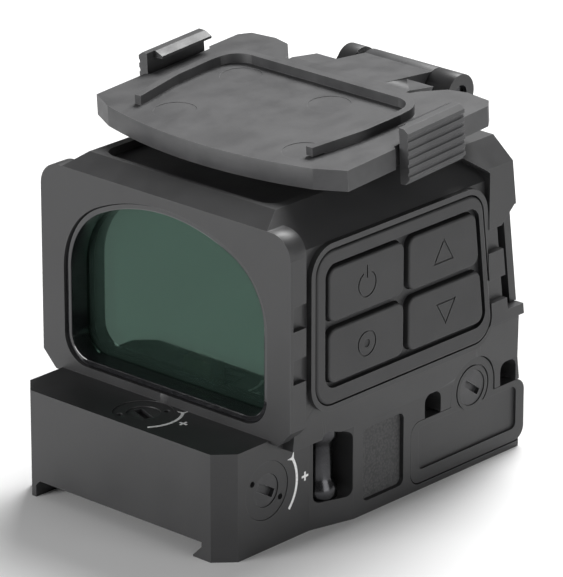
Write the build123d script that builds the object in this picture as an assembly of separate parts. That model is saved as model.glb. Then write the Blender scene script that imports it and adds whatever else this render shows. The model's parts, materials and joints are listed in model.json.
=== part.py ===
from build123d import *
import math
import os

# Enclosed red dot sight with a flip-up rear cover. Millimetres, +Z up, +X the keypad side,
# -Y the end with the adjusters. Lengths along Y below are measured from the front face of the
# base and moved by ORIGIN_Y at the end, so that the origin is under the middle of the object.
ORIGIN_Y = 24.27

# Base block and foot
BASE_HALF_FRONT = 15.5
BASE_HALF = 16.95
BASE_LENGTH = 48.33
BASE_CORNER = 2.07
BASE_STRAIGHT = 13.38
BASE_TAPER_END = 18.9
FRONT_BLOCK_TOP = 12.46
FOOT_CEILING = 2.0
FOOT_HALF = 12.1
HOOK_REACH = 1.25
SEAT_Z = 1.8
REAR_CORNER = 1.6

# Hood
HOOD_HALF = 18.4
HOOD_FRONT = 7.1
HOOD_FACE_TOP = 36.1
HOOD_CORNER = 2.7
HOOD_CHAMFER = 1.9
HOOD_BOTTOM = 12.1
BODY_HALF = 17.6
BODY_STEP = 16.1
BODY_SHOULDER = 33.7
COLLAR_FRONT = 9.6
COLLAR_REAR = 39.4
ROOF_TOP = 37.4
ROOF_HALF = 13.7
REAR_COLLAR_TOP = 37.8

# Windows: an arch with straight sides, a wide top arc and rounded lower corners
ARCH_HALF = 15.05
ARCH_BOTTOM = 13.5
ARCH_TOP = 34.8
ARCH_SIDE_R = 9.0
ARCH_TOP_R = 23.0
ARCH_LOW_R = 3.3
WINDOW_SHOULDER = 12.3
LENS_SHOULDER = 39.2
GLASS = 1.9
TUBE_INSET = 0.9

# Cover hinge: the axis runs along X
HINGE_Y = 46.34
HINGE_Z = 39.87
HINGE_R = 2.2
PIN_R = 0.95
COVER_TILT = 3.55
COVER_FACE = 3.31
COVER_PLATE = 2.4
COVER_HALF = 18.45
REAR_TILT = 7.3
EJECTOR_MARKS = ((-8.2, -28.5), (11.0, -28.8), (4.2, -17.2), (-9.4, -16.6))
LATCH_Y0 = -22.0
LATCH_Y1 = -12.8
LATCH_PIVOT_X = 17.0
LATCH_PIVOT_Z = COVER_FACE - 1.25
RIDGE_HEIGHT = 1.1
RIDGE_FRONT = 29.7

SLOT_Z0 = 17.95
SLOT_Z1 = 28.2
SLOT_DEPTH = 3.0
FRAME_DEPTH = 1.75
STRIP_DEPTH = 1.25
STRIP_X = 15.6
FRAME_PROUD = 0.15
FRAME_SCREWS = ((-13.2, 34.9), (13.2, 34.9), (-8.5, 12.45), (8.5, 12.45))

# Keypad on the +X wall
PAD_Y0 = 11.3
PAD_Y1 = 38.1
PAD_Y1_LOW = 40.35
PAD_Z0 = 15.4
PAD_Z1 = 33.0
PAD_R = 2.6
KEY_Y0 = 13.15
KEY_Z0 = 17.8
KEY_Z1 = 30.95
KEY_MID_Y = 25.6
KEY_MID_Z = 24.4
KEY_GAP = 0.8
KEY_RIGHT = 36.93
KEY_SLANT = 0.126
KEY_FACE = 18.5
KEY_BASE = 16.85
KEY_COVER = 17.4
KEY_MOAT = 0.55
KEY_TRAVEL = 0.35
PAD_FLOOR = 15.4

# Adjusters
ADJ_RING_R = 3.3
ADJ_SCREW_R = 1.85
ADJ_SHANK_R = 1.0
ELEV_Y = 3.8
WIND_Y = 6.6
WIND_Z = 6.85
ADJ_TOP = FRONT_BLOCK_TOP - 0.08
ADJ_SIDE = BASE_HALF_FRONT - 0.08

# Clip pocket and its post on the +X side
POCKET_FRONT = 13.8
POCKET_REAR = 18.8
POCKET_BACK = 11.6
POST_X = 13.9
POST_Y = 16.4
POST_R = 2.2
POST_WAIST_R = 1.7

# Battery tray on the +X side
TRAY_Y0 = 28.4
TRAY_Y1 = 47.7
TRAY_Z0 = 0.8
TRAY_Z1 = 8.1
TRAY_SCREW_Y = 38.74
TRAY_SCREW_Z = 9.4
TRAY_TAB_R = 3.6
CELL_R = 8.0
CELL_H = 3.2
CELL_X = 6.6
CELL_Y = 38.1
CELL_Z = 3.95

# Electronics bay on the -X side
BAY_Y0 = 20.9
BAY_Y1 = 43.1
BOARD_Z = 7.9
LID_SCREWS = ((19.7, 7.0), (44.3, 7.0), (19.7, 10.6), (44.3, 10.6))
BOARD_SCREWS = ((-13.5, 22.6), (-6.6, 41.4))

# Clamp on the -X side of the foot
JAW_Y0 = 17.0
JAW_Y1 = 42.0
JAW_TOP = 5.0
BOLT_Z = 3.4
BOLT_YS = (22.5, 36.5)
BOLT_R = 0.8


def block(x0, x1, y0, y1, z0, z1):
    return Pos((x0 + x1) / 2, (y0 + y1) / 2, (z0 + z1) / 2) * Box(x1 - x0, y1 - y0, z1 - z0)


def rod_x(r, x0, x1, y, z):
    return Pos((x0 + x1) / 2, y, z) * Rot(0, 90, 0) * Cylinder(r, x1 - x0)


def rod_y(r, y0, y1, x, z):
    return Pos(x, (y0 + y1) / 2, z) * Rot(90, 0, 0) * Cylinder(r, y1 - y0)


def rod_z(r, z0, z1, x, y):
    return Pos(x, y, (z0 + z1) / 2) * Cylinder(r, z1 - z0)


def along_x(points, x0, x1):
    """A prism of a (y, z) outline from x0 to x1."""
    face = make_face(Plane.YZ * Polyline(*points, close=True))
    return Pos(x0, 0, 0) * extrude(face, x1 - x0, dir=(1, 0, 0))


def along_y(points, y0, y1):
    """A prism of an (x, z) outline from y0 to y1."""
    face = make_face(Plane.XZ * Polyline(*points, close=True))
    return Pos(0, y0, 0) * extrude(face, y1 - y0, dir=(0, 1, 0))


def along_z(points, z0, z1):
    """A prism of an (x, y) outline from z0 to z1."""
    face = make_face(Polyline(*points, close=True))
    return Pos(0, 0, z0) * extrude(face, z1 - z0, dir=(0, 0, 1))


def mirrored(points):
    """A closed outline from the half on the +X side."""
    return points + [(-x, v) for x, v in reversed(points)]


def rear_y(z, gap=0.0):
    """The slanted rear plane that the closed cover lies against, less a gap."""
    tilt = math.radians(REAR_TILT)
    return HINGE_Y - COVER_FACE / math.cos(tilt) + (HINGE_Z - z) * math.tan(tilt) - gap


def arch_face(inset):
    """The window outline on the XZ plane, set in all round."""
    half = ARCH_HALF - inset
    low = ARCH_BOTTOM + inset
    top = ARCH_TOP - inset
    side_r = ARCH_SIDE_R - inset
    top_r = ARCH_TOP_R - inset
    low_r = ARCH_LOW_R - inset
    top_centre = top - top_r
    side_x = half - side_r
    side_z = top_centre + math.sqrt((top_r - side_r) ** 2 - side_x ** 2)
    reach = top_r / (top_r - side_r)
    join = (side_x * reach, top_centre + (side_z - top_centre) * reach)
    turn = math.atan2(side_z - top_centre, side_x) / 2
    mid = (side_x + side_r * math.cos(turn), side_z + side_r * math.sin(turn))
    in_corner = low_r * (1 - math.sqrt(0.5))
    right = [
        Line((half - low_r, low), (0, low)),
        ThreePointArc((half, low + low_r), (half - in_corner, low + in_corner), (half - low_r, low)),
        Line((half, side_z), (half, low + low_r)),
        ThreePointArc(join, mid, (half, side_z)),
        ThreePointArc((0, top), (top_r * math.sin((math.pi / 2 - 2 * turn) / 2),
                                 top_centre + top_r * math.cos((math.pi / 2 - 2 * turn) / 2)), join),
    ]
    left = [edge.mirror(Plane.YZ) for edge in right]
    return make_face(Plane.XZ * Curve(children=right + left))


def arch_prism(inset, y0, y1):
    return Pos(0, y0, 0) * extrude(arch_face(inset), y1 - y0, dir=(0, 1, 0))


def arch_ring(outer_inset, inner_inset, y0, y1):
    return arch_prism(outer_inset, y0, y1) - arch_prism(inner_inset, y0 - 1, y1 + 1)


# ---------------------------------------------------------------- housing

def base_block():
    half_outline = [
        (BASE_HALF_FRONT - BASE_CORNER, 0),
        (BASE_HALF_FRONT, BASE_CORNER),
        (BASE_HALF_FRONT, BASE_STRAIGHT),
        (BASE_HALF, BASE_TAPER_END),
        (BASE_HALF, BASE_LENGTH - REAR_CORNER),
        (BASE_HALF - REAR_CORNER, BASE_LENGTH),
    ]
    return along_z(mirrored(half_outline), 0, FRONT_BLOCK_TOP)


def foot_channel():
    """The channel under the base: a hooked fixed jaw on +X and a straight wall on -X."""
    outline = [
        (-FOOT_HALF - 0.7, -1),
        (-FOOT_HALF - 0.7, FOOT_CEILING - 0.6),
        (-FOOT_HALF - 0.1, FOOT_CEILING),
        (FOOT_HALF, FOOT_CEILING),
        (FOOT_HALF, 1.45),
        (FOOT_HALF - HOOK_REACH, 0.2),
        (FOOT_HALF - HOOK_REACH, -1),
    ]
    return along_y(outline, -1, BASE_LENGTH + 1)


def hood_body():
    """The hood behind its front collar: a waist at the bottom and sloping shoulders."""
    half_outline = [
        (BASE_HALF, 10.9),
        (BODY_HALF, BODY_STEP),
        (BODY_HALF, BODY_SHOULDER),
        (BODY_HALF - 2.5, HOOD_FACE_TOP),
    ]
    return along_y(mirrored(half_outline), COLLAR_FRONT - 0.5, BASE_LENGTH)


def front_collar():
    half_outline = [
        (HOOD_HALF - HOOD_CHAMFER, HOOD_BOTTOM),
        (HOOD_HALF, HOOD_BOTTOM + HOOD_CHAMFER),
        (HOOD_HALF, HOOD_FACE_TOP),
    ]
    collar = along_y(mirrored(half_outline), HOOD_FRONT, COLLAR_FRONT)
    corners = [e for e in collar.edges().filter_by(Axis.Y) if e.center().Z > HOOD_FACE_TOP - 0.1]
    return fillet(corners, HOOD_CORNER)


def rear_collar():
    half_outline = [
        (BODY_HALF, BODY_STEP + 0.6),
        (HOOD_HALF, BODY_STEP + 0.6),
        (HOOD_HALF, REAR_COLLAR_TOP - 2.5),
        (HOOD_HALF - 2.6, REAR_COLLAR_TOP),
    ]
    collar = along_y(mirrored(half_outline), COLLAR_REAR - 4, BASE_LENGTH)
    front_edge = [
        (COLLAR_REAR, BODY_STEP),
        (COLLAR_REAR, REAR_COLLAR_TOP - 3.0),
        (COLLAR_REAR - 4, REAR_COLLAR_TOP),
        (BASE_LENGTH, REAR_COLLAR_TOP),
        (BASE_LENGTH, BODY_STEP),
    ]
    return collar & along_x(front_edge, -HOOD_HALF, HOOD_HALF)


def roof():
    """A raised roof with a sloping lip at the front and a sunken field behind the lip."""
    low = Pos(0, (HOOD_FRONT + 41) / 2, HOOD_FACE_TOP) * Rectangle(2 * 15.1, 41 - HOOD_FRONT)
    high = Pos(0, (9.95 + 41) / 2, ROOF_TOP) * Rectangle(2 * ROOF_HALF, 41 - 9.95)
    return loft([low, high])


def roof_field():
    field = block(-12.6, 12.6, 10.6, 36.5, ROOF_TOP - 0.9, ROOF_TOP + 1)
    edges = field.edges().filter_by(Axis.Z)
    return fillet(edges, 2.0)


def rear_profile():
    """Everything in front of the rear faces; the base has a bevel under the closed cover."""
    points = [
        (-1, -1),
        (BASE_LENGTH + 0.1, -1),
        (BASE_LENGTH + 0.1, 7.3),
        (rear_y(7.9, 0.35), 7.9),
        (rear_y(40, 0.35), 40),
        (-1, 40),
    ]
    return along_x(points, -20, 20)


def rib_column_cuts():
    """Two recesses in each of the rib columns beside the keypad."""
    cuts = []
    for side in (1, -1):
        for z0, z1 in ((25.4, 28.2), (19.4, 22.2)):
            for y0, y1 in ((HOOD_FRONT + 0.5, COLLAR_FRONT + 0.1), (COLLAR_REAR - 0.1, 42.7)):
                outer = block(side * HOOD_HALF - 0.7, side * HOOD_HALF + 0.7, y0, y1, z0, z1)
                cuts.append(outer)
    return cuts


def latch_slots():
    """Side slots that the cover latches reach through to hook over the rear frame."""
    cuts = []
    for side in (1, -1):
        a, b = sorted((side * 15.9, side * 19.5))
        points = [
            (rear_y(SLOT_Z0, SLOT_DEPTH), SLOT_Z0),
            (rear_y(SLOT_Z0, -3), SLOT_Z0),
            (rear_y(SLOT_Z1 + 1.9, -3), SLOT_Z1 + 1.9),
            (rear_y(SLOT_Z1 + 1.9, 0.6), SLOT_Z1 + 1.9),
            (rear_y(SLOT_Z1, SLOT_DEPTH), SLOT_Z1),
        ]
        cuts.append(along_x(points, a, b))
    return cuts


def keypad_outline(grow):
    """The keypad outline on the YZ plane: upright at the front, slanted at the rear."""
    corners = [
        (PAD_Y0 - grow, PAD_Z0 - grow),
        (PAD_Y1_LOW + grow, PAD_Z0 - grow),
        (PAD_Y1 + grow, PAD_Z1 + grow),
        (PAD_Y0 - grow, PAD_Z1 + grow),
    ]
    sketch = make_face(Polyline(*corners, close=True))
    return fillet(sketch.vertices(), PAD_R + grow)


def keypad_prism(grow, x0, x1):
    return Plane.YZ.offset(x0) * extrude(keypad_outline(grow), x1 - x0, dir=(0, 0, 1))


def battery_bay():
    cell_space = block(-2.7, 15.2, 29.2, 47.0, 3.3, 7.8)
    face = tray_outline(0.12, 15.05, BASE_HALF + 1)
    thread = rod_x(0.95, 9.5, 16, TRAY_SCREW_Y, TRAY_SCREW_Z)
    notches = [block(14.4, BASE_HALF + 1, y0, y0 + 2.7, 7.5, 10.9) for y0 in (30.6, 43.4)]
    notches = [fillet(n.edges().filter_by(Axis.X), 1.0) for n in notches]
    return [cell_space, face, thread] + notches


def tray_outline(grow, x0, x1):
    """The tray's face: a rounded rectangle with an arched tab for its screw."""
    body = block(x0, x1, TRAY_Y0 - grow, TRAY_Y1 + grow, TRAY_Z0 - grow, TRAY_Z1 + grow)
    body = fillet(body.edges().filter_by(Axis.X), 1.5)
    tab_r = TRAY_TAB_R + grow
    tab = rod_x(tab_r, x0, x1, TRAY_SCREW_Y, TRAY_SCREW_Z)
    neck = block(x0, x1, TRAY_SCREW_Y - tab_r, TRAY_SCREW_Y + tab_r, TRAY_Z1 - 1.5, TRAY_SCREW_Z)
    return body + tab + neck


def electronics_bay():
    bay = block(-BASE_HALF - 1, -4.2, BAY_Y0, BAY_Y1, 6.0, 11.2)
    bay = bay - block(-14.6, -12.4, BAY_Y0, BAY_Y0 + 3.4, 5, BOARD_Z)
    bay = bay - block(-7.8, -4.0, BAY_Y1 - 3.4, BAY_Y1, 5, BOARD_Z)
    lid = block(-BASE_HALF - 1, -15.6, 18.6, 45.4, 5.6, 12.0)
    screws = [rod_x(0.45, -16, -12.6, y, z) for y, z in LID_SCREWS]
    board_screws = [rod_z(0.4, 6.4, BOARD_Z + 0.1, x, y) for x, y in BOARD_SCREWS]
    return [bay, fillet(lid.edges().filter_by(Axis.X), 1.0)] + screws + board_screws


def adjuster_bay():
    """The cavity for the adjusting mechanism, its two ports and the emitter's opening."""
    cavity = block(-8.5, 8.5, 2.2, 16.6, 3.0, 10.6)
    up_to_tube = block(-4.5, 4.5, 12.6, 16.6, 10.0, 15.0)
    top_port = rod_z(ADJ_RING_R + 0.05, 10.4, 14, 0, ELEV_Y)
    side_port = rod_x(ADJ_RING_R + 0.05, 13.2, 17, WIND_Y, WIND_Z)
    side_bore = rod_x(1.3, 8, 14, WIND_Y, WIND_Z)
    return [cavity, up_to_tube, top_port, side_port, side_bore]


def clip_pocket():
    """The pocket with sloping ends that the clip post stands in."""
    points = [(POCKET_FRONT, 3.0), (POCKET_REAR, 2.8), (POCKET_REAR, 10.2), (POCKET_FRONT, 12.0)]
    pocket = along_x(points, POCKET_BACK, BASE_HALF + 1)
    return fillet(pocket.edges().filter_by(Axis.X), 0.9)


def side_pockets():
    pad = block(15.7, BASE_HALF + 1, 20.4, 27.1, 1.5, 10.1)
    pad = fillet(pad.edges().filter_by(Axis.X), 0.8)
    return [clip_pocket(), pad]


def seat_pad():
    """The flat pad in the channel's ceiling that the foot stands on."""
    return block(-9.5, 9.5, 3, 45, SEAT_Z, FOOT_CEILING + 0.5)


def clamp_recess():
    slot = block(-BASE_HALF - 1, -12.9, JAW_Y0 - 0.15, JAW_Y1 + 0.15, -1, JAW_TOP + 0.15)
    slot = slot + block(-15, -12.7, JAW_Y0 - 0.15, JAW_Y1 + 0.15, -1, FOOT_CEILING)
    threads = [rod_x(BOLT_R + 0.05, -14, -6.5, y, BOLT_Z) for y in BOLT_YS]
    return [slot] + threads


def cover_scallop():
    """A hollow in the rear of the base that the end of the closed cover drops into."""
    points = [
        (rear_y(4.9, 0.35), 4.9),
        (BASE_LENGTH + 1, 4.9),
        (BASE_LENGTH + 1, 9.5),
        (rear_y(9.5, 0.35), 9.5),
    ]
    return along_x(points, -15.8, 15.8)


def frame_outline(grow):
    half = [
        (STRIP_X + grow, 11.4 - grow),
        (STRIP_X + grow, SLOT_Z0 - grow),
        (17.2 + grow, SLOT_Z0 - grow),
        (17.2 + grow, 30.2 + grow),
        (15.2 + grow, 32.4 + grow),
        (15.2 + grow, 37.0 + grow),
    ]
    return mirrored(half)


def rear_slab(gap_front, gap_rear):
    """A slab parallel to the rear plane, between two gaps from it."""
    points = [
        (rear_y(5, gap_front), 5),
        (rear_y(5, gap_rear), 5),
        (rear_y(45, gap_rear), 45),
        (rear_y(45, gap_front), 45),
    ]
    return along_x(points, -25, 25)


def frame_plate(grow, front, rear):
    """The frame's plate, between two gaps from the rear plane, with thinner side strips."""
    middle = block(-STRIP_X - grow, STRIP_X + grow, 38, 55, 5, 45)
    deep = rear_slab(front, rear) & middle
    return along_y(frame_outline(grow), 38, 55) & (deep + rear_slab(front - FRAME_DEPTH + STRIP_DEPTH, rear))


def ridge_relief():
    """Grooves that the ends of the cover's ridge drop into when it shuts."""
    grooves = []
    for side in (1, -1):
        x0, x1 = sorted((side * 11.9, side * 13.75))
        grooves.append(block(x0, x1, 38, 55, 9.2, 14.5) & rear_slab(RIDGE_HEIGHT + 0.15, -5))
    return grooves


def frame_seat():
    """The pocket in the rear of the hood for the rear frame, and its screw holes."""
    pocket = frame_plate(0.08, FRAME_DEPTH + 0.03, -5)
    hinge_notch = block(-8.5, 8.3, 38, 55, 36.5, 40) & rear_slab(FRAME_DEPTH + 0.03, -5)
    holes = [rod_y(0.55, 39.6, 50, x, z) for x, z in FRAME_SCREWS]
    return [pocket, hinge_notch] + holes


def make_housing():
    body = base_block() + hood_body() + front_collar() + roof() + rear_collar()
    body = body & rear_profile()
    body = body - roof_field()
    body = body + keypad_prism(0.75, BODY_HALF - 0.6, HOOD_HALF - 0.1)
    body = body - keypad_prism(0.12, PAD_FLOOR, HOOD_HALF + 1)
    cuts = [foot_channel(), cover_scallop()]
    cuts += rib_column_cuts() + latch_slots() + battery_bay() + electronics_bay()
    cuts += adjuster_bay() + side_pockets() + clamp_recess() + frame_seat() + ridge_relief()
    cuts += [arch_prism(0, HOOD_FRONT - 1, WINDOW_SHOULDER)]
    cuts += [arch_prism(TUBE_INSET, HOOD_FRONT - 1, BASE_LENGTH + 1)]
    cuts += [arch_prism(0, LENS_SHOULDER, BASE_LENGTH + 1)]
    for cut in cuts:
        body = body - cut
    return body + seat_pad()


# ---------------------------------------------------------------- windows

def make_window_bezel():
    return arch_ring(0.05, 0.75, HOOD_FRONT + 0.35, WINDOW_SHOULDER - GLASS - 0.4)


def make_front_window():
    return arch_prism(0.08, WINDOW_SHOULDER - GLASS - 0.3, WINDOW_SHOULDER - 0.3)


def make_front_gasket():
    return arch_ring(0.08, 0.85, WINDOW_SHOULDER - 0.3, WINDOW_SHOULDER)


def make_lens_gasket():
    return arch_ring(0.08, 0.85, LENS_SHOULDER, LENS_SHOULDER + 0.3)


def make_objective_lens():
    return arch_prism(0.08, LENS_SHOULDER + 0.3, LENS_SHOULDER + 0.3 + GLASS)


# ---------------------------------------------------------------- rear frame and hinge

def make_rear_frame():
    """A slanted plate round the rear opening, with strips for the latches and two hinge arms."""
    plate = frame_plate(0, FRAME_DEPTH, FRAME_PROUD) - arch_prism(0, 35, 55)
    for groove in ridge_relief():
        plate = plate - groove
    arm = [
        (rear_y(36.9, FRAME_DEPTH), 36.9),
        (rear_y(35.6, FRAME_DEPTH), 35.6),
        (rear_y(35.6, FRAME_PROUD), 35.6),
        (HINGE_Y + 1.3, HINGE_Z - 1.77),
        (HINGE_Y - 1.3, HINGE_Z + 1.77),
        (rear_y(37.9, FRAME_DEPTH), 37.9),
    ]
    for x0, x1 in ((-8.4, -6.2), (4.75, 8.2)):
        plate = plate + along_x(arm, x0, x1) + rod_x(HINGE_R, x0, x1, HINGE_Y, HINGE_Z)
    plate = plate - rod_x(PIN_R, -7.6, 20, HINGE_Y, HINGE_Z)
    for x, z in FRAME_SCREWS:
        plate = plate - rod_y(0.55, 30, 60, x, z) - rod_y(0.95, rear_y(z, 0.85), 60, x, z)
    return plate


def make_frame_screws():
    return [countersunk(0.5, 0.9, 0.55, 3.4, x, rear_y(z, 0.25), z) for x, z in FRAME_SCREWS]


def countersunk(shank_r, head_r, head_h, length, x, y, z):
    """A small screw along -Y with a cross slot in its head."""
    screw = rod_y(shank_r, y - length, y - head_h, x, z) + rod_y(head_r, y - head_h, y, x, z)
    slots = block(x - head_r, x + head_r, y - 0.25, y + 1, z - 0.14, z + 0.14)
    slots = slots + block(x - 0.14, x + 0.14, y - 0.25, y + 1, z - head_r, z + head_r)
    return screw - slots


def make_hinge_pin():
    return rod_x(PIN_R - 0.02, -7.6, 7.7, HINGE_Y, HINGE_Z)


def make_hinge_spring():
    """Two turns round the pin, with a leg down to the frame side."""
    turns = [Pos(x, HINGE_Y, HINGE_Z) * Rot(0, 90, 0) * Torus(1.4, 0.22) for x in (-5.9, -5.5)]
    leg = rod_y(0.22, HINGE_Y - 1.9, HINGE_Y, -5.9, HINGE_Z - 1.4)
    return turns[0] + turns[1] + leg


# ---------------------------------------------------------------- flip cover

def on_cover(shape):
    """From the cover's own frame (hinge axis at the origin, plate towards -Y) to its open place."""
    return Pos(0, HINGE_Y, HINGE_Z) * Rot(COVER_TILT, 0, 0) * shape


def cover_outline():
    """The plate seen from above: a bowed front, cut corners, latch bays and rounded rear ears."""
    right = Polyline(
        (15.07, -31.95),
        (COVER_HALF, -30.2),
        (COVER_HALF, -22.6),
        (17.9, -22.2),
        (17.9, -12.5),
        (COVER_HALF, -12.1),
        (COVER_HALF, -7.4),
        (17.5, -6.1),
        (14.2, -5.7),
        (11.8, -6.3),
        (9.8, -8.4),
        (9.0, -9.6),
        (0, -9.6),
    )
    bow = ThreePointArc((-15.07, -31.95), (0, -34.05), (15.07, -31.95))
    return make_face(Curve(children=[right, right.mirror(Plane.YZ), bow]))


def ridge_outline(grow):
    half = [
        (12.55 + grow, -29.9),
        (13.75 + grow, -22.5),
        (13.9 + grow, -17),
        (13.55 + grow, -12.9 + grow),
    ]
    face = make_face(Polyline(*mirrored(half), close=True))
    rear = [v for v in face.vertices() if v.Y > -14 + grow]
    return fillet(rear, 3.0 + grow)


def cover_ridge():
    """The raised lip, open at the front, that shades the window when the cover is shut."""
    up = (0, 0, 1)
    outer = extrude(ridge_outline(0.45), COVER_FACE + RIDGE_HEIGHT, dir=up)
    band = outer - extrude(ridge_outline(-0.45), COVER_FACE + 2, dir=up)
    return band & block(-20, 20, -RIDGE_FRONT, 0, COVER_FACE - 0.3, COVER_FACE + RIDGE_HEIGHT)


def cover_web():
    """The sloped web from the plate down to the middle knuckle."""
    points = [
        (-10.2, COVER_FACE - COVER_PLATE),
        (-10.2, COVER_FACE),
        (-9.0, COVER_FACE),
        (-0.8, 2.05),
        (-0.8, -1.2),
        (-3.4, 0.2),
    ]
    web = along_x(points, -5.15, 4.7)
    shoulder = [(-10.2, 1.3), (-10.2, COVER_FACE), (-9.0, COVER_FACE), (-5.0, 2.5), (-6.2, 1.3)]
    return web + along_x(shoulder, -8.6, 8.6) + rod_x(HINGE_R, -5.15, 4.7, 0, 0)


def make_flip_cover():
    plate = Pos(0, 0, COVER_FACE - COVER_PLATE) * extrude(cover_outline(), COVER_PLATE, dir=(0, 0, 1))
    plate = plate + cover_ridge() + cover_web()
    plate = plate - rod_x(PIN_R + 0.03, -10, 10, 0, 0)
    for x, y in EJECTOR_MARKS:
        plate = plate - rod_z(2.4, COVER_FACE - 0.06, COVER_FACE + 0.1, x, y)
    for side in (1, -1):
        plate = plate - latch_root(side, 0.09)
    return on_cover(plate)


def latch_root(side, grow):
    """The latch's round root and neck, which sit in the edge of the plate."""
    root = rod_y(0.55 + grow, LATCH_Y0 + 1.4 - grow, LATCH_Y1 - 1.4 + grow,
                 side * LATCH_PIVOT_X, LATCH_PIVOT_Z)
    x0, x1 = sorted((side * LATCH_PIVOT_X, side * 18.6))
    neck = block(x0, x1, LATCH_Y0 + 1.4 - grow, LATCH_Y1 - 1.4 + grow,
                 LATCH_PIVOT_Z - 0.35 - 2 * grow, LATCH_PIVOT_Z + 0.35 + 2 * grow)
    return root + neck


def make_latch(side):
    """A grooved spring clip with an inward hook above and a finger lip below."""
    profile = [
        (18.52, -0.9), (19.2, -0.9), (19.8, -0.2), (19.8, COVER_FACE + 1.75), (19.2, COVER_FACE + 2.2),
        (18.3, COVER_FACE + 2.2), (17.3, COVER_FACE + 1.75), (17.3, COVER_FACE + 1.45),
        (18.52, COVER_FACE + 1.35),
    ]
    clip = along_y([(side * x, z) for x, z in profile], LATCH_Y0, LATCH_Y1)
    x0, x1 = sorted((side * 16, side * 18.5))
    clip = clip - block(x0, x1, LATCH_Y0 - 1, LATCH_Y0 + 1.2, COVER_FACE, 9)
    for step in range(5):
        z = 0.35 + 1.0 * step
        groove = rod_y(0.3, LATCH_Y0 - 1, LATCH_Y1 + 1, side * 19.95, z)
        clip = clip - groove
    return on_cover(clip + latch_root(side, 0))


# ---------------------------------------------------------------- keypad

def key_corners(column, row, inset):
    """The four (y, z) corners of one key; the right-hand column has a slanted outer edge."""
    z0, z1 = (KEY_MID_Z + KEY_GAP / 2, KEY_Z1) if row else (KEY_Z0, KEY_MID_Z - KEY_GAP / 2)
    z0 += inset
    z1 -= inset
    if column:
        y0 = KEY_MID_Y + KEY_GAP / 2 + inset
        right = [(KEY_RIGHT + (KEY_Z1 - z) * KEY_SLANT - inset, z) for z in (z0, z1)]
        return [(y0, z0), right[0], right[1], (y0, z1)]
    y1 = KEY_MID_Y - KEY_GAP / 2 - inset
    return [(KEY_Y0 + inset, z0), (y1, z0), (y1, z1), (KEY_Y0 + inset, z1)]


def key_prism(column, row, inset, radius, x0, x1):
    sketch = make_face(Polyline(*key_corners(column, row, inset), close=True))
    sketch = fillet(sketch.vertices(), radius)
    return Plane.YZ.offset(x0) * extrude(sketch, x1 - x0, dir=(0, 0, 1))


def key_centre(column, row):
    corners = key_corners(column, row, 0)
    return sum(y for y, z in corners) / 4, sum(z for y, z in corners) / 4


def ring_mark(y, z, radius, width):
    return rod_x(radius, 0, 1, y, z) - rod_x(radius - width, -1, 2, y, z)


def power_mark(y, z):
    mark = ring_mark(y, z - 0.2, 1.5, 0.22) - block(-1, 2, y - 0.55, y + 0.55, z, z + 3)
    return mark + block(0, 1, y - 0.11, y + 0.11, z + 0.5, z + 2.0)


def select_mark(y, z):
    return ring_mark(y, z, 1.5, 0.22) + rod_x(0.5, 0, 1, y, z)


def triangle_mark(y, z, up):
    outer = [(y - 1.7, z - 1.2 * up), (y + 1.7, z - 1.2 * up), (y, z + 1.6 * up)]
    inner = [(y - 1.33, z - 0.98 * up), (y + 1.33, z - 0.98 * up), (y, z + 1.2 * up)]
    return along_x(outer, 0, 1) - along_x(inner, -1, 2)


def make_key(column, row, mark):
    key = key_prism(column, row, 0, 1.1, KEY_BASE, KEY_FACE)
    top = [e for e in key.edges() if e.center().X > KEY_FACE - 0.01]
    key = fillet(top, 0.25)
    key = key + key_prism(column, row, -0.28, 1.2, KEY_BASE, KEY_BASE + 0.4)
    return key - Pos(KEY_FACE - 0.14, 0, 0) * mark


def keypad_window():
    """The opening of the bezel: the four keys' common outline with a little room."""
    grow = KEY_MOAT
    corners = [
        (KEY_Y0 - grow, KEY_Z0 - grow),
        (KEY_RIGHT + (KEY_Z1 - KEY_Z0) * KEY_SLANT + grow, KEY_Z0 - grow),
        (KEY_RIGHT + grow, KEY_Z1 + grow),
        (KEY_Y0 - grow, KEY_Z1 + grow),
    ]
    sketch = make_face(Polyline(*corners, close=True))
    return fillet(sketch.vertices(), 1.1 + KEY_MOAT)


def make_keypad_bezel():
    """The frame round the keys, with a low cross between them."""
    window = keypad_window()
    bezel = keypad_prism(0, KEY_COVER, HOOD_HALF)
    rim = [e for e in bezel.edges() if e.center().X > HOOD_HALF - 0.01]
    bezel = fillet(rim, 0.3)
    bezel = bezel - Plane.YZ.offset(KEY_COVER + 0.35) * extrude(window, 2, dir=(0, 0, 1))
    for column in (0, 1):
        for row in (0, 1):
            bezel = bezel - key_prism(column, row, -0.12, 1.15, KEY_COVER - 1, HOOD_HALF + 1)
    skirt = keypad_prism(0, PAD_FLOOR, KEY_COVER) - keypad_prism(-0.9, PAD_FLOOR - 1, HOOD_HALF)
    return bezel + skirt


def make_keypad_board():
    return keypad_prism(-1.25, PAD_FLOOR, PAD_FLOOR + 0.5)


def make_keypad_switches():
    domes = []
    for column in (0, 1):
        for row in (0, 1):
            y, z = key_centre(column, row)
            base = rod_x(1.9, PAD_FLOOR + 0.5, PAD_FLOOR + 0.62, y, z)
            domes.append(base + rod_x(1.2, PAD_FLOOR + 0.62, PAD_FLOOR + 0.8, y, z))
    return domes


def make_keypad_seal():
    return keypad_prism(-1.25, PAD_FLOOR + 0.85, PAD_FLOOR + 1.05)


# ---------------------------------------------------------------- adjusters

def on_top(shape):
    return Pos(0, ELEV_Y, ADJ_TOP) * shape


def on_side(shape):
    return Pos(ADJ_SIDE, WIND_Y, WIND_Z) * Rot(0, 90, 0) * shape


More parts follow.
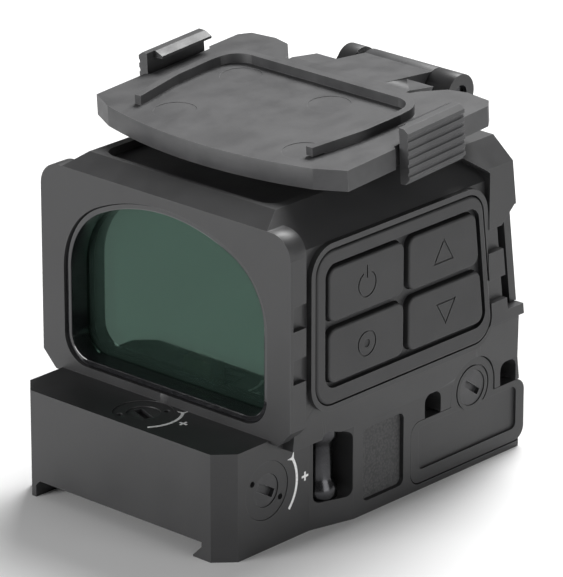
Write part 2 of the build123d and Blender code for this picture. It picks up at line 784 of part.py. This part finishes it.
def adjuster_bush(hole_turn):
    """The fixed ring, face at z = 0, with two spanner holes and a thin floor."""
    ring = rod_z(ADJ_RING_R, -1.9, 0, 0, 0) - rod_z(ADJ_SCREW_R + 0.05, -1.6, 1, 0, 0)
    ring = ring - rod_z(ADJ_SHANK_R + 0.06, -3, 1, 0, 0)
    for turn in (hole_turn, hole_turn + 180):
        x = 2.58 * math.cos(math.radians(turn))
        y = 2.58 * math.sin(math.radians(turn))
        ring = ring - rod_z(0.36, -0.9, 1, x, y)
    return ring


def adjuster_screw(length, slot_turn):
    """A slotted head on a shank, face just under the ring's."""
    screw = rod_z(ADJ_SCREW_R, -0.95, -0.12, 0, 0) + rod_z(ADJ_SHANK_R, -length, -0.9, 0, 0)
    slot = Rot(0, 0, slot_turn) * block(-1.4, 1.4, -0.5, 0.5, -0.7, 1)
    return screw - slot


def adjuster_seal():
    return Pos(0, 0, -1.28) * Torus(1.36, 0.28)


def make_elevation_slide():
    """The block that the elevation screw raises, with an arm under the carriage."""
    riser = block(-4.6, 2.15, 2.4, 5.3, 4.2, 8.3)
    arm = block(-4.6, 2.15, 2.4, 15.8, 3.7, 4.9)
    return riser + arm - rod_z(ADJ_SHANK_R + 0.05, 3, 9, 0, ELEV_Y)


def make_elevation_spring():
    """A coil round the elevation screw, between the slide and the ceiling of its bay."""
    path = Helix(pitch=0.62, height=1.55, radius=1.32)
    start = path @ 0
    coil = sweep(Plane(origin=start, z_dir=path % 0) * Circle(0.17), path, is_frenet=True)
    return Pos(0, ELEV_Y, 8.62) * coil


def make_windage_nut():
    """The nut on the windage screw, with a tongue into the carriage."""
    nut = block(3.0, 6.0, 5.05, 8.3, 5.3, 8.4) + block(4.0, 5.0, 8.2, 9.7, 6.2, 7.6)
    return nut - rod_x(ADJ_SHANK_R + 0.05, 2, 7, WIND_Y, WIND_Z)


def make_emitter_carriage():
    """The cross slide that holds the emitter up behind the window's lower edge."""
    carriage = block(-4.4, 6.4, 8.6, 15.8, 5.0, 9.6) + block(-2.0, 2.0, 13.3, 15.5, 9.5, 16.0)
    return carriage - block(3.95, 5.05, 8, 9.9, 4, 11)


def make_emitter():
    return block(-0.8, 0.8, 15.5, 15.9, 14.7, 15.7) + rod_y(0.3, 15.8, 16.1, 0, 15.2)


# ---------------------------------------------------------------- battery tray

def make_battery_tray():
    face = tray_outline(0, 15.4, BASE_HALF - 0.08)
    field = block(BASE_HALF - 0.4, 20, TRAY_Y0 + 1.3, TRAY_Y1 - 1.4, TRAY_Z0 + 1.5, TRAY_Z1 - 0.7)
    field = fillet(field.edges().filter_by(Axis.X), 0.7)
    ring_groove = rod_x(2.75, BASE_HALF - 0.3, 20, TRAY_SCREW_Y, TRAY_SCREW_Z)
    boss = rod_x(2.55, BASE_HALF - 0.8, BASE_HALF - 0.08, TRAY_SCREW_Y, TRAY_SCREW_Z)
    face = face - field - ring_groove + boss
    body = block(0, 15.5, 29.4, 46.8, 3.4, 6.9)
    body = body - rod_z(CELL_R + 0.1, CELL_Z - 0.05, 10, CELL_X, CELL_Y)
    tray = face + body
    tray = tray - rod_x(2.05, 15.9, 20, TRAY_SCREW_Y, TRAY_SCREW_Z)
    return tray - rod_x(0.95, 10, 20, TRAY_SCREW_Y, TRAY_SCREW_Z)


def make_battery_screw():
    head = rod_x(2.0, 15.95, BASE_HALF - 0.2, TRAY_SCREW_Y, TRAY_SCREW_Z)
    shank = rod_x(0.88, 10.2, 16, TRAY_SCREW_Y, TRAY_SCREW_Z)
    slot = block(BASE_HALF - 0.75, 20, -1.4, 1.4, -0.38, 0.38)
    slot = Pos(0, TRAY_SCREW_Y, TRAY_SCREW_Z) * Rot(-35, 0, 0) * slot
    return head + shank - slot


def make_tray_seal():
    ring = block(15.1, 15.4, 28.8, 47.3, 2.8, 7.98) - block(15, 15.5, 29.35, 46.85, 3.35, 7.75)
    return ring


def make_coin_cell():
    cell = rod_z(CELL_R, CELL_Z, CELL_Z + CELL_H, CELL_X, CELL_Y)
    rim = [e for e in cell.edges() if e.center().Z > CELL_Z + CELL_H - 0.1]
    return chamfer(rim, 0.35)


def make_top_contact():
    leaf = block(1.5, 11.0, 36.6, 39.6, 7.6, 7.78)
    return leaf + block(5.5, 7.5, 36.6, 39.6, 7.22, 7.7)


def make_side_contact():
    return block(-2.68, -2.5, 36.1, 40.1, 4.2, 7.2) + block(-2.6, -1.48, 37.4, 38.8, 5.2, 6.4)


# ---------------------------------------------------------------- electronics

def make_main_board():
    board = block(-15.2, -4.9, BAY_Y0 + 0.4, BAY_Y1 - 0.4, BOARD_Z, BOARD_Z + 0.8)
    for x, y in BOARD_SCREWS:
        board = board - rod_z(0.5, 5, 12, x, y)
    return board


def make_board_parts():
    """The processor, a power chip, a coil and a row of small parts."""
    top = BOARD_Z + 0.8
    parts = [
        block(-12.2, -8.2, 27, 31, top, top + 0.9),
        block(-11.5, -9.0, 34, 36.4, top, top + 0.8),
        rod_z(1.2, top, top + 1.1, -13.0, 37.5),
    ]
    for step in range(5):
        y = 25 + 2.2 * step
        parts.append(block(-7.2, -6.0, y, y + 0.7, top, top + 0.5))
    return parts


def make_board_screws():
    top = BOARD_Z + 0.8
    return [rod_z(0.38, top - 2.2, top + 0.1, x, y) + rod_z(0.8, top, top + 0.55, x, y)
            for x, y in BOARD_SCREWS]


def lid_block(x0, x1, grow):
    lid = block(x0, x1, 18.7 - grow, 45.3 + grow, 5.7 - grow, 11.9 + grow)
    return fillet(lid.edges().filter_by(Axis.X), 0.9)


def make_electronics_cover():
    lid = lid_block(-BASE_HALF + 0.05, -15.9, 0)
    for y, z in LID_SCREWS:
        lid = lid - rod_x(0.5, -20, -14, y, z) - rod_x(0.9, -20, -16.4, y, z)
    return lid


def make_cover_gasket():
    ring = lid_block(-15.9, -15.6, 0) - block(-17, -14, BAY_Y0, BAY_Y1, 6.0, 11.2)
    for y, z in LID_SCREWS:
        ring = ring - rod_x(0.5, -20, -14, y, z)
    return ring


def make_cover_screws():
    screws = []
    for y, z in LID_SCREWS:
        screw = rod_x(0.85, -BASE_HALF + 0.1, -16.4, y, z) + rod_x(0.42, -16.5, -13, y, z)
        slot = block(-20, -BASE_HALF + 0.35, y - 0.7, y + 0.7, z - 0.13, z + 0.13)
        screws.append(screw - slot)
    return screws


# ---------------------------------------------------------------- clamp and side pieces

def make_clamp_jaw():
    outline = [
        (-BASE_HALF, 0.9),
        (-BASE_HALF + 0.9, 0),
        (-FOOT_HALF + HOOK_REACH, 0),
        (-FOOT_HALF + HOOK_REACH, 0.2),
        (-FOOT_HALF, 1.45),
        (-13.05, 1.45),
        (-13.05, JAW_TOP),
        (-BASE_HALF, JAW_TOP),
    ]
    jaw = along_y(outline, JAW_Y0, JAW_Y1)
    for y in BOLT_YS:
        jaw = jaw - rod_x(BOLT_R + 0.05, -20, -10, y, BOLT_Z)
    return jaw


def make_clamp_bolt(y):
    head = rod_x(2.1, -18.9, -BASE_HALF, y, BOLT_Z)
    rim = [e for e in head.edges() if e.center().X < -18.8]
    head = chamfer(rim, 0.3)
    socket = Pos(-18.9, y, BOLT_Z) * Rot(0, 90, 0) * extrude(RegularPolygon(1.25, 6), 1.1, dir=(0, 0, 1))
    return head - socket + rod_x(BOLT_R, -BASE_HALF - 0.1, -8.0, y, BOLT_Z)


def make_clip_post():
    """A waisted post in the side pocket, for a clip or a lanyard."""
    half = [
        (0, 2.0),
        (POST_R, 2.0),
        (POST_R, 4.0),
        (POST_WAIST_R, 5.2),
        (POST_WAIST_R, 8.9),
        (POST_R, 10.1),
        (POST_R, 12.6),
        (0, 12.6),
    ]
    face = make_face(Plane.XZ * Polyline(*half, close=True))
    return Pos(POST_X, POST_Y, 0) * revolve(face, Axis.Z) & clip_pocket()


def make_side_pad():
    pad = block(15.7, 16.45, 20.45, 27.05, 1.55, 10.05)
    return fillet(pad.edges().filter_by(Axis.X), 0.75)


# ---------------------------------------------------------------- export

def save(shape, name):
    solids = shape if isinstance(shape, list) else [shape]
    moved = [Pos(0, -ORIGIN_Y, 0) * solid for solid in solids]
    whole = moved[0] if len(moved) == 1 else Compound(children=moved)
    export_step(whole, f"parts/{name}.step")


KEYS = {
    "power_button": (0, 1, power_mark),
    "select_button": (0, 0, select_mark),
    "up_button": (1, 1, lambda y, z: triangle_mark(y, z, 1)),
    "down_button": (1, 0, lambda y, z: triangle_mark(y, z, -1)),
}

PARTS = {
    "housing": make_housing,
    "window_bezel": make_window_bezel,
    "front_window": make_front_window,
    "front_gasket": make_front_gasket,
    "lens_gasket": make_lens_gasket,
    "objective_lens": make_objective_lens,
    "rear_frame": make_rear_frame,
    "frame_screws": make_frame_screws,
    "hinge_pin": make_hinge_pin,
    "hinge_spring": make_hinge_spring,
    "flip_cover": make_flip_cover,
    "cover_latch_left": lambda: make_latch(-1),
    "cover_latch_right": lambda: make_latch(1),
    "keypad_bezel": make_keypad_bezel,
    "keypad_board": make_keypad_board,
    "keypad_switches": make_keypad_switches,
    "keypad_seal": make_keypad_seal,
    "elevation_bush": lambda: on_top(adjuster_bush(52)),
    "elevation_screw": lambda: on_top(adjuster_screw(8.6, -20)),
    "elevation_seal": lambda: on_top(adjuster_seal()),
    "windage_bush": lambda: on_side(adjuster_bush(58)),
    "windage_screw": lambda: on_side(adjuster_screw(13.0, 60)),
    "windage_seal": lambda: on_side(adjuster_seal()),
    "elevation_slide": make_elevation_slide,
    "elevation_spring": make_elevation_spring,
    "windage_nut": make_windage_nut,
    "emitter_carriage": make_emitter_carriage,
    "emitter": make_emitter,
    "battery_tray": make_battery_tray,
    "battery_screw": make_battery_screw,
    "battery_tray_seal": make_tray_seal,
    "coin_cell": make_coin_cell,
    "battery_contact_top": make_top_contact,
    "battery_contact_side": make_side_contact,
    "main_board": make_main_board,
    "board_components": make_board_parts,
    "board_screws": make_board_screws,
    "electronics_cover": make_electronics_cover,
    "electronics_cover_gasket": make_cover_gasket,
    "electronics_cover_screws": make_cover_screws,
    "clamp_jaw": make_clamp_jaw,
    "clamp_bolt_front": lambda: make_clamp_bolt(BOLT_YS[0]),
    "clamp_bolt_rear": lambda: make_clamp_bolt(BOLT_YS[1]),
    "clip_post": make_clip_post,
    "side_pad": make_side_pad,
}


def main():
    os.makedirs("parts", exist_ok=True)
    for name, make in PARTS.items():
        save(make(), name)
    for name, (column, row, mark) in KEYS.items():
        save(make_key(column, row, mark(*key_centre(column, row))), name)


main()
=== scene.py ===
import json
import math

import bmesh
import bpy
from mathutils import Matrix, Vector


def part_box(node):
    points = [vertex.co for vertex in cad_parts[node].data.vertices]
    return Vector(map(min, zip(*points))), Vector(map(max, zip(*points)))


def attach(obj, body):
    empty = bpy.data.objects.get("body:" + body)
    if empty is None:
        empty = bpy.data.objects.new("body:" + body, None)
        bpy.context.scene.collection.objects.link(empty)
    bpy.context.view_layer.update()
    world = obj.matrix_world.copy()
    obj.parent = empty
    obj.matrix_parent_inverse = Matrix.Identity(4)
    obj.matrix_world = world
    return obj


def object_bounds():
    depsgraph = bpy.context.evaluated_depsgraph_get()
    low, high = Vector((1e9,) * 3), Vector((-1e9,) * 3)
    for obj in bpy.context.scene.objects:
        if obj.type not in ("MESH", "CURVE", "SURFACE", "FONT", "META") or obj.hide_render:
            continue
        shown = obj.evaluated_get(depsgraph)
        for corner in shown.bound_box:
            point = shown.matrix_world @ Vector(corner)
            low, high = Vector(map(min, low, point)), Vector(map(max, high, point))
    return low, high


MM = 0.001

# Camera: a long lens from the adjuster end, to the right and above
AIM = Vector((0.00660, -0.00561, 0.02421))
VIEW_AZIMUTH = math.radians(42.411)
VIEW_ELEVATION = math.radians(21.071)
VIEW_DISTANCE = 0.540254
LENS_MM = 311.78
SENSOR_MM = 36.0

# Printed scales beside the adjusters
ARC_WIDTH = 0.34 * MM
PRINT_HEIGHT = 0.015 * MM
PLUS_HALF = 0.52 * MM
PLUS_BAR = 0.13 * MM
BARB_REACH = 1.9 * ARC_WIDTH
BARB_NOTCH = 0.07
BARB_TIP = 0.14
FACE_INSET = 0.08 * MM
ELEVATION_ARC = (4.3 * MM, -40, 37)
ELEVATION_PLUS = (5.44 * MM, 6)
WINDAGE_ARC = (4.75 * MM, -43, 30)
WINDAGE_PLUS = (6.05 * MM, -2)

# Softened edges
WELD_DISTANCE = 0.002 * MM
EDGE_ANGLE = math.radians(32)

# Studio: each lamp's place from the aim, its size in metres and its power in watts
LAMPS = {
    "key_front_left": ((-0.25, -0.70, 0.14), 0.45, 4.3),
    "fill_right": ((0.78, 0.10, 0.12), 0.50, 2.1),
    "top_back": ((-0.15, 0.50, 0.64), 0.45, 9.0),
}
AMBIENT = 0.17
FLOOR_HALF = 3.0

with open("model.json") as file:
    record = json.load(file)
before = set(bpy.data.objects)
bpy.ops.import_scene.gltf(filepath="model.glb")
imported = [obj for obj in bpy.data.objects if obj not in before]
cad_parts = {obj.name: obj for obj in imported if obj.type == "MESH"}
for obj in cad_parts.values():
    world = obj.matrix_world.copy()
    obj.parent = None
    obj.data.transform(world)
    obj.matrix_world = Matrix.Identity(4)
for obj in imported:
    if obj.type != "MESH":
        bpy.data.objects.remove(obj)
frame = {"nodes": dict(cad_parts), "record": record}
cad_low, cad_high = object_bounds()
nodes = frame["nodes"]


# ---------------------------------------------------------------- node helpers

class Shader:
    """A Principled material with small helpers for procedural inputs."""

    def __init__(self, name, **constants):
        self.material = bpy.data.materials.new(name)
        self.material.use_nodes = True
        self.tree = self.material.node_tree
        self.bsdf = self.tree.nodes["Principled BSDF"]
        self.coords = self.add("ShaderNodeTexCoord").outputs["Object"]
        self.height = None
        for socket, value in constants.items():
            self.bsdf.inputs[socket.replace("_", " ")].default_value = value

    def add(self, kind, **settings):
        node = self.tree.nodes.new(kind)
        for key, value in settings.items():
            setattr(node, key, value)
        return node

    def link(self, a, b):
        self.tree.links.new(a, b)

    def noise(self, size, detail=3.0, roughness=0.55, stretch=None):
        """A noise whose features are about size across, in metres."""
        node = self.add("ShaderNodeTexNoise")
        node.inputs["Scale"].default_value = 1.0 / size
        node.inputs["Detail"].default_value = detail
        node.inputs["Roughness"].default_value = roughness
        source = self.coords
        if stretch:
            mapping = self.add("ShaderNodeMapping")
            mapping.inputs["Scale"].default_value = stretch
            self.link(source, mapping.inputs["Vector"])
            source = mapping.outputs["Vector"]
        self.link(source, node.inputs["Vector"])
        return node.outputs["Fac"]

    def spread(self, value, low, high, start=0.35, end=0.65):
        node = self.add("ShaderNodeMapRange")
        node.inputs["From Min"].default_value = start
        node.inputs["From Max"].default_value = end
        node.inputs["To Min"].default_value = low
        node.inputs["To Max"].default_value = high
        self.link(value, node.inputs["Value"])
        return node.outputs["Result"]

    def mix(self, factor, first, second):
        """A colour between two, each a colour or an output."""
        node = self.add("ShaderNodeMix", data_type="RGBA")
        colours = [s for s in node.inputs if s.type == "RGBA"]
        self.link(factor, node.inputs["Factor"])
        for socket, value in zip(colours, (first, second)):
            if isinstance(value, bpy.types.NodeSocket):
                self.link(value, socket)
            else:
                socket.default_value = (*value, 1.0)
        return [s for s in node.outputs if s.type == "RGBA"][0]

    def bump(self, value, depth, strength=1.0):
        """Adds a layer of relief, depth in metres."""
        node = self.add("ShaderNodeBump")
        node.inputs["Strength"].default_value = strength
        node.inputs["Distance"].default_value = depth
        self.link(value, node.inputs["Height"])
        if self.height:
            self.link(self.height, node.inputs["Normal"])
        self.height = node.outputs["Normal"]
        self.link(self.height, self.bsdf.inputs["Normal"])

    def edges(self, radius):
        """How sharply the surface turns within radius, 0 on flats."""
        bevel = self.add("ShaderNodeBevel", samples=4)
        bevel.inputs["Radius"].default_value = radius
        geometry = self.add("ShaderNodeNewGeometry")
        dot = self.add("ShaderNodeVectorMath", operation="DOT_PRODUCT")
        self.link(bevel.outputs["Normal"], dot.inputs[0])
        self.link(geometry.outputs["Normal"], dot.inputs[1])
        return self.spread(dot.outputs["Value"], 1.0, 0.0, 0.80, 0.995)

    def colour(self, output):
        self.link(output, self.bsdf.inputs["Base Color"])

    def rough(self, output):
        self.link(output, self.bsdf.inputs["Roughness"])


def shade(colour, factor):
    return tuple(c * factor for c in colour)


def finished(name, colour, rough, grain, relief, mottle=0.12, edge_highlight=None, edge=0.12 * MM):
    """A solid finish: fine grain in the relief, cloudy colour, uneven gloss and a painted highlight on
    the edges.
    """
    s = Shader(name)
    cloud = s.noise(6 * MM, detail=5.0)
    fine = s.noise(grain, detail=2.0)
    tint = s.mix(s.spread(cloud, 0.0, 1.0), shade(colour, 1 - mottle), shade(colour, 1 + mottle))
    speck = s.mix(s.spread(fine, 0.0, 0.35), tint, shade(colour, 1 + 3 * mottle))
    # The lighter colour mixed in on the edges is a painted highlight, where the edges would catch the
    # light.
    if edge_highlight:
        speck = s.mix(s.edges(edge), speck, edge_highlight)
    s.colour(speck)
    s.rough(s.spread(cloud, rough - 0.05, rough + 0.05))
    s.bump(fine, relief)
    return s.material


# ---------------------------------------------------------------- materials

def anodised():
    """Bead-blasted and black anodised aluminium."""
    # The lighter colour given for the edges is a painted highlight.
    return finished("anodised", (0.027, 0.027, 0.028), 0.46, 0.11 * MM, 0.006 * MM,
                    edge_highlight=(0.060, 0.060, 0.062))


def anodised_fine():
    """Turned and black anodised aluminium, with fine tool marks."""
    s = Shader("anodised_fine", Metallic=0.25)
    marks = s.noise(0.09 * MM, detail=2.0, stretch=(1.0, 1.0, 6.0))
    cloud = s.noise(2 * MM, detail=4.0)
    tint = s.mix(s.spread(cloud, 0.0, 1.0), (0.040, 0.040, 0.042), (0.055, 0.055, 0.057))
    # The lighter colour on the edges is a painted highlight.
    s.colour(s.mix(s.edges(0.08 * MM), tint, (0.16, 0.16, 0.165)))
    s.rough(s.spread(marks, 0.30, 0.42))
    s.bump(marks, 0.003 * MM)
    return s.material


def cover_polymer():
    """Moulded polymer: fine spark texture, cloudy flow marks and a painted highlight on the edges."""
    s = Shader("cover_polymer")
    cloud = s.noise(7 * MM, detail=4.0)
    flow = s.noise(2.2 * MM, detail=5.0, stretch=(1.0, 0.6, 1.0))
    fine = s.noise(0.13 * MM, detail=2.0)
    tint = s.mix(s.spread(cloud, 0.0, 1.0, 0.42, 0.68), (0.042, 0.042, 0.044), (0.066, 0.066, 0.068))
    tint = s.mix(s.spread(flow, 0.0, 0.45, 0.45, 0.75), tint, (0.080, 0.080, 0.082))
    # The lighter colour on the edges is a painted highlight.
    s.colour(s.mix(s.edges(0.12 * MM), tint, (0.12, 0.12, 0.122)))
    s.rough(s.spread(flow, 0.44, 0.56))
    s.bump(fine, 0.010 * MM)
    return s.material


def key_rubber():
    # The lighter colour given for the edges is a painted highlight.
    return finished("key_rubber", (0.028, 0.028, 0.029), 0.58, 0.16 * MM, 0.006 * MM,
                    mottle=0.08, edge_highlight=(0.085, 0.085, 0.086))


def keypad_polymer():
    # The lighter colour given for the edges is a painted highlight.
    return finished("keypad_polymer", (0.014, 0.014, 0.015), 0.44, 0.13 * MM, 0.005 * MM,
                    edge_highlight=(0.070, 0.070, 0.072))


def pad_rubber():
    """A soft pad with a fine pebbled surface."""
    s = Shader("pad_rubber")
    cells = s.add("ShaderNodeTexVoronoi", feature="F1")
    cells.inputs["Scale"].default_value = 1.0 / (0.28 * MM)
    s.link(s.coords, cells.inputs["Vector"])
    cloud = s.noise(3 * MM)
    low = s.mix(s.spread(cloud, 0.0, 1.0), (0.028, 0.028, 0.029), (0.042, 0.042, 0.043))
    pits = s.spread(cells.outputs["Distance"], 0.0, 1.0, 0.1, 0.8)
    s.colour(s.mix(pits, (0.065, 0.065, 0.066), low))
    s.rough(s.spread(cloud, 0.62, 0.74))
    s.bump(cells.outputs["Distance"], 0.03 * MM, 0.8)
    return s.material


def gloss_black():
    """Polished black trim with faint hairlines in its lacquer."""
    s = Shader("gloss_black", Coat_Weight=0.6, Coat_Roughness=0.05)
    hair = s.noise(0.6 * MM, detail=6.0, stretch=(1.0, 8.0, 1.0))
    s.colour(s.mix(s.spread(hair, 0.0, 1.0), (0.006, 0.006, 0.007), (0.016, 0.016, 0.018)))
    s.rough(s.spread(hair, 0.10, 0.20))
    s.bump(hair, 0.001 * MM)
    return s.material


def glass(name, body, tint, dust):
    """Coated glass: a coloured reflection, and a faint film that dulls it in places."""
    s = Shader(name, Transmission_Weight=0.89, IOR=1.66, Specular_Tint=(*tint, 1.0))
    film = s.noise(9 * MM, detail=4.0)
    s.colour(s.mix(s.spread(film, 0.0, 1.0), body, shade(body, 1.2)))
    s.rough(s.spread(film, 0.02, dust))
    return s.material


def steel(name, colour, rough):
    s = Shader(name, Metallic=1.0)
    brush = s.noise(0.25 * MM, detail=3.0, stretch=(1.0, 1.0, 8.0))
    cloud = s.noise(3 * MM, detail=4.0)
    s.colour(s.mix(s.spread(cloud, 0.0, 1.0), shade(colour, 0.85), shade(colour, 1.15)))
    s.rough(s.spread(brush, rough - 0.07, rough + 0.07))
    s.bump(brush, 0.003 * MM)
    return s.material


def rubber_seal():
    return finished("seal_rubber", (0.016, 0.016, 0.016), 0.62, 0.2 * MM, 0.004 * MM)


def circuit_board():
    """Green solder mask over a faint pattern of copper tracks."""
    s = Shader("circuit_board", Coat_Weight=0.4, Coat_Roughness=0.2)
    tracks = s.add("ShaderNodeTexBrick", offset=0.5)
    tracks.inputs["Scale"].default_value = 1.0 / (1.6 * MM)
    tracks.inputs["Mortar Size"].default_value = 0.03
    tracks.inputs["Color1"].default_value = (0.010, 0.085, 0.040, 1.0)
    tracks.inputs["Color2"].default_value = (0.012, 0.100, 0.048, 1.0)
    tracks.inputs["Mortar"].default_value = (0.045, 0.210, 0.100, 1.0)
    s.link(s.coords, tracks.inputs["Vector"])
    s.colour(tracks.outputs["Color"])
    s.rough(s.spread(s.noise(1.5 * MM), 0.28, 0.40))
    return s.material


def white_print():
    """Screen-printed paint, a little thin in places."""
    s = Shader("white_print")
    thin = s.noise(0.22 * MM, detail=4.0)
    s.colour(s.mix(s.spread(thin, 0.0, 1.0, 0.28, 0.45), (0.55, 0.55, 0.55), (0.86, 0.86, 0.86)))
    s.rough(s.spread(thin, 0.55, 0.45))
    return s.material


def floor_finish():
    s = Shader("floor_finish")
    soft = s.noise(60 * MM, detail=3.0)
    s.colour(s.mix(s.spread(soft, 0.0, 1.0), (0.88, 0.88, 0.88), (0.91, 0.91, 0.91)))
    s.rough(s.spread(soft, 0.75, 0.85))
    return s.material


MAKERS = {
    "anodised": anodised,
    "anodised_fine": anodised_fine,
    "gloss_black": gloss_black,
    "coated_glass": lambda: glass("coated_glass", (0.10, 0.17, 0.14), (0.38, 0.76, 0.58), 0.06),
    "lens_glass": lambda: glass("lens_glass", (0.62, 0.50, 0.44), (1.0, 0.66, 0.50), 0.05),
    "seal_rubber": rubber_seal,
    "cover_polymer": cover_polymer,
    "keypad_polymer": keypad_polymer,
    "key_rubber": key_rubber,
    "dark_steel": lambda: steel("dark_steel", (0.055, 0.055, 0.058), 0.22),
    "spring_steel": lambda: steel("spring_steel", (0.52, 0.52, 0.53), 0.28),
    "contact_brass": lambda: steel("contact_brass", (0.78, 0.62, 0.34), 0.25),
    "circuit_board": circuit_board,
    "chip_plastic": lambda: finished("chip_plastic", (0.022, 0.022, 0.023), 0.5, 0.1 * MM, 0.004 * MM),
    "slide_brass": lambda: steel("slide_brass", (0.60, 0.48, 0.26), 0.33),
    "cell_steel": lambda: steel("cell_steel", (0.66, 0.66, 0.67), 0.22),
    "pad_rubber": pad_rubber,
}


def dress_nodes():
    """Each CAD node takes the material of its slot in the record."""
    made = {slot: make() for slot, make in MAKERS.items()}
    for part in frame["record"]["subparts"]:
        node = nodes[part["node"]]
        node.data.materials.clear()
        node.data.materials.append(made[part["material_slot"]])


# ---------------------------------------------------------------- softened edges

# Radii in mm
EDGE_RADII = {
    "housing": 0.13, "rear_frame": 0.10, "flip_cover": 0.16, "cover_latch_left": 0.09,
    "cover_latch_right": 0.09, "battery_tray": 0.09, "elevation_bush": 0.08, "windage_bush": 0.08,
    "elevation_screw": 0.06, "windage_screw": 0.06, "battery_screw": 0.07, "electronics_cover": 0.09,
    "clamp_jaw": 0.12, "window_bezel": 0.12, "clip_post": 0.10, "side_pad": 0.08,
}


def soften_edges():
    """Small radii on the machined and moulded edges, which catch the light."""
    for name, radius in EDGE_RADII.items():
        node = nodes[name]
        weld = node.modifiers.new("weld", "WELD")
        weld.merge_threshold = WELD_DISTANCE
        bevel = node.modifiers.new("edge", "BEVEL")
        bevel.width = radius * MM
        bevel.segments = 2
        bevel.limit_method = "ANGLE"
        bevel.angle_limit = EDGE_ANGLE
        bevel.use_clamp_overlap = True
        bevel.harden_normals = False
        bevel.miter_outer = "MITER_ARC"


# ---------------------------------------------------------------- printed marks

def flat_print(name, outlines, centre, across, up, body):
    """Thin paint: each outline is a list of (across, up) points about the centre."""
    out = across.cross(up).normalized()
    mesh = bmesh.new()
    for outline in outlines:
        base = [centre + across * a + up * b for a, b in outline]
        low = [mesh.verts.new(p) for p in base]
        high = [mesh.verts.new(p + out * PRINT_HEIGHT) for p in base]
        count = len(base)
        mesh.faces.new(high)
        mesh.faces.new(list(reversed(low)))
        for i in range(count):
            j = (i + 1) % count
            mesh.faces.new((low[i], low[j], high[j], high[i]))
    bmesh.ops.recalc_face_normals(mesh, faces=mesh.faces)
    data = bpy.data.meshes.new(name)
    mesh.to_mesh(data)
    mesh.free()
    piece = bpy.data.objects.new(name, data)
    bpy.context.scene.collection.objects.link(piece)
    data.materials.append(print_paint)
    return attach(piece, body)


def polar(radius, turn):
    return radius * math.cos(turn), radius * math.sin(turn)


def arc_outlines(radius, start, end, steps=20):
    """An arc of paint as short four-sided pieces, and two small barbs at its end."""
    inner, outer = radius - ARC_WIDTH / 2, radius + ARC_WIDTH / 2
    turns = [math.radians(start + (end - start) * i / steps) for i in range(steps + 1)]
    pieces = []
    for a, b in zip(turns, turns[1:]):
        pieces.append([polar(inner, a), polar(outer, a), polar(outer, b), polar(inner, b)])
    root, notch, tip = turns[-1], turns[-1] + BARB_NOTCH, turns[-1] + BARB_TIP
    for side in (-1, 1):
        edge, barb = radius + side * ARC_WIDTH / 2, radius + side * BARB_REACH
        pieces.append([polar(radius, root), polar(edge, root), polar(barb, tip), polar(radius, notch)])
    return pieces


def plus_outlines(radius, turn):
    """A plain plus sign on the outer side of the arc."""
    a, b = polar(radius, math.radians(turn))
    flat = [(a - PLUS_HALF, b - PLUS_BAR), (a + PLUS_HALF, b - PLUS_BAR),
            (a + PLUS_HALF, b + PLUS_BAR), (a - PLUS_HALF, b + PLUS_BAR)]
    upper = [(a - PLUS_BAR, b + PLUS_BAR), (a + PLUS_BAR, b + PLUS_BAR),
             (a + PLUS_BAR, b + PLUS_HALF), (a - PLUS_BAR, b + PLUS_HALF)]
    lower = [(p, 2 * b - q) for p, q in reversed(upper)]
    return [flat, upper, lower]


def adjuster_prints():
    """The scales lie on the body's faces, which stand a little proud of the adjusters' rings."""
    low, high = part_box("elevation_bush")
    top = (low + high) / 2
    top.z = high.z + FACE_INSET
    marks = arc_outlines(*ELEVATION_ARC) + plus_outlines(*ELEVATION_PLUS)
    flat_print("elevation_scale", marks, top, Vector((1, 0, 0)), Vector((0, 1, 0)), "sight")
    low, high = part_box("windage_bush")
    side = (low + high) / 2
    side.x = high.x + FACE_INSET
    marks = arc_outlines(*WINDAGE_ARC) + plus_outlines(*WINDAGE_PLUS)
    flat_print("windage_scale", marks, side, Vector((0, 1, 0)), Vector((0, 0, 1)), "sight")


# ---------------------------------------------------------------- studio

def make_floor():
    data = bpy.data.meshes.new("floor")
    mesh = bmesh.new()
    bmesh.ops.create_grid(mesh, x_segments=8, y_segments=8, size=FLOOR_HALF)
    mesh.to_mesh(data)
    mesh.free()
    floor = bpy.data.objects.new("floor", data)
    floor.location.z = cad_low.z
    bpy.context.scene.collection.objects.link(floor)
    data.materials.append(floor_finish())


def soft_light(name, place, size, watts):
    light = bpy.data.lights.new(name, "AREA")
    light.shape = "DISK"
    light.size = size
    light.energy = watts
    lamp = bpy.data.objects.new(name, light)
    lamp.location = AIM + Vector(place)
    lamp.rotation_mode = "QUATERNION"
    lamp.rotation_quaternion = Vector(place).to_track_quat("Z", "Y")
    bpy.context.scene.collection.objects.link(lamp)


def studio():
    make_floor()
    for name, (place, size, watts) in LAMPS.items():
        soft_light(name, place, size, watts)
    world = bpy.data.worlds.new("studio")
    world.use_nodes = True
    back = world.node_tree.nodes["Background"]
    back.inputs["Color"].default_value = (1.0, 1.0, 1.0, 1.0)
    back.inputs["Strength"].default_value = AMBIENT
    bpy.context.scene.world = world


def make_camera():
    back = Vector((math.sin(VIEW_AZIMUTH) * math.cos(VIEW_ELEVATION),
                   -math.cos(VIEW_AZIMUTH) * math.cos(VIEW_ELEVATION), math.sin(VIEW_ELEVATION)))
    right = Vector((math.cos(VIEW_AZIMUTH), math.sin(VIEW_AZIMUTH), 0))
    camera = bpy.data.cameras.new("camera")
    camera.lens = LENS_MM
    camera.sensor_width = SENSOR_MM
    camera.clip_start = 0.02
    camera.clip_end = 20
    holder = bpy.data.objects.new("camera", camera)
    holder.matrix_world = (Matrix.Translation(AIM + back * VIEW_DISTANCE)
                           @ Matrix((right, back.cross(right), back)).transposed().to_4x4())
    bpy.context.scene.collection.objects.link(holder)
    bpy.context.scene.camera = holder
    bpy.context.scene.view_settings.view_transform = "Standard"


dress_nodes()
print_paint = white_print()
soften_edges()
adjuster_prints()
studio()
make_camera()
